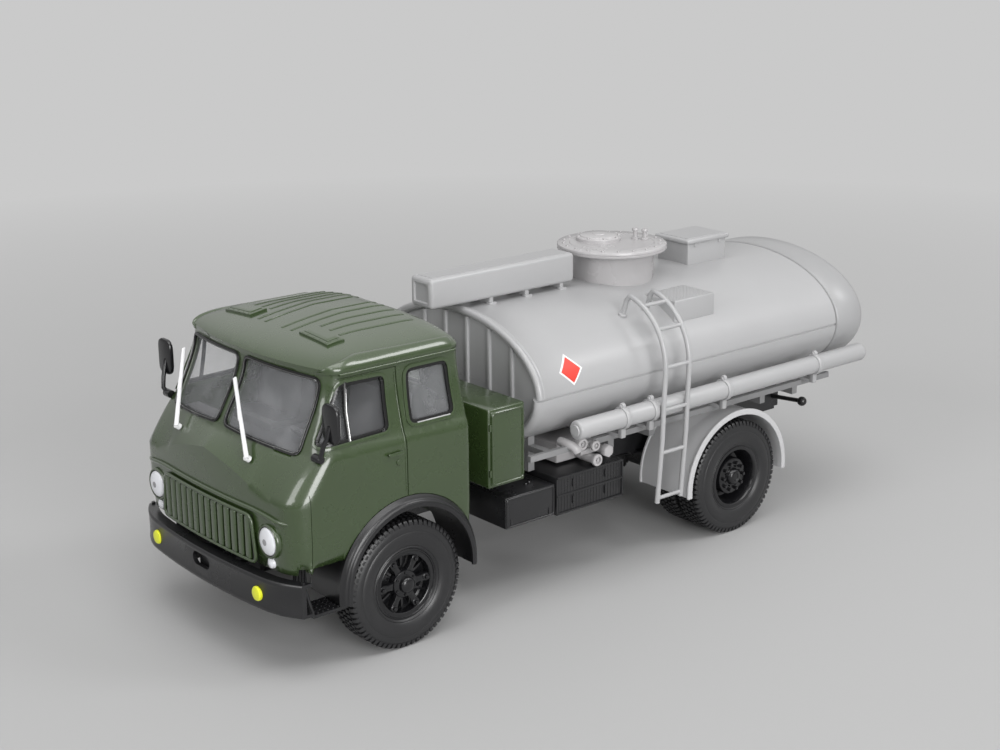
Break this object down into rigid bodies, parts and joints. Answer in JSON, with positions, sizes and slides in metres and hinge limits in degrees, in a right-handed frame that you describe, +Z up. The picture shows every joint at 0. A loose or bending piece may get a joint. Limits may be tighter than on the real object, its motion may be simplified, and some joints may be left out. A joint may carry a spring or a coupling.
{
  "type": "scale model tanker truck",
  "caption": "Collector's scale model of a two-axle cab-over tanker truck with an oval tank, ladder and hose tubes; its wheel sets turn freely.",
  "frame": {"origin": "on the ground, in the middle of the model's length and width", "axes": "+X forward, +Y to the truck's left, +Z up"},
  "size_m": [0.1646, 0.0624, 0.0647],
  "materials": {
    "cab_paint": "satin",
    "tank_paint": "satin",
    "frame_grey": "satin",
    "black_plastic": "satin",
    "interior": "matt",
    "glazing": "clear",
    "lamp_silver": "gloss",
    "lamp_yellow": "gloss",
    "etched_metal": "bright",
    "steel_pin": "bright",
    "tyre": "matt"
  },
  "bodies": {
    "root": {"cab_shell": "cab_paint", "cab_glazing": "glazing", "cab_floor": "interior", "seats": "interior", "dashboard": "interior", "grille": "cab_paint", "headlamps": "lamp_silver", "indicators": "lamp_silver", "bumper": "black_plastic", "fog_lamps": "lamp_yellow", "front_mudguards": "black_plastic", "cab_steps": "black_plastic", "wipers": "etched_metal", "mirrors": "black_plastic", "locker": "cab_paint", "chassis_frame": "black_plastic", "engine_block": "black_plastic", "prop_shaft": "black_plastic", "front_axle": "black_plastic", "rear_axle": "black_plastic", "leaf_springs": "black_plastic", "exhaust": "black_plastic", "battery_box": "black_plastic", "tool_box": "black_plastic", "fuel_tank": "black_plastic", "tank_subframe": "frame_grey", "tank_shell": "tank_paint", "tank_rear_section": "tank_paint", "manhole_drum": "tank_paint", "manhole_lid": "tank_paint", "pipe_case": "tank_paint", "rear_case": "tank_paint", "walkway": "tank_paint", "ladder": "tank_paint", "hose_tubes": "tank_paint", "valves": "tank_paint", "rear_mudguards": "tank_paint", "rear_lamps": "black_plastic", "tow_hook": "black_plastic"},
    "front_wheelset": {"front_axle_pin": "steel_pin", "front_rims": "black_plastic", "front_tyres": "tyre"},
    "rear_wheelset": {"rear_axle_pin": "steel_pin", "rear_rims": "black_plastic", "rear_tyres": "tyre"}
  },
  "joints": [
    {"name": "front_wheels_turn", "type": "hinge", "parent": "root", "child": "front_wheelset", "pos_m": [0.0545, 0, 0.0126], "axis": [0, 1, 0], "continuous": true},
    {"name": "rear_wheels_turn", "type": "hinge", "parent": "root", "child": "rear_wheelset", "pos_m": [-0.035, 0, 0.0126], "axis": [0, 1, 0], "continuous": true}
  ]
}
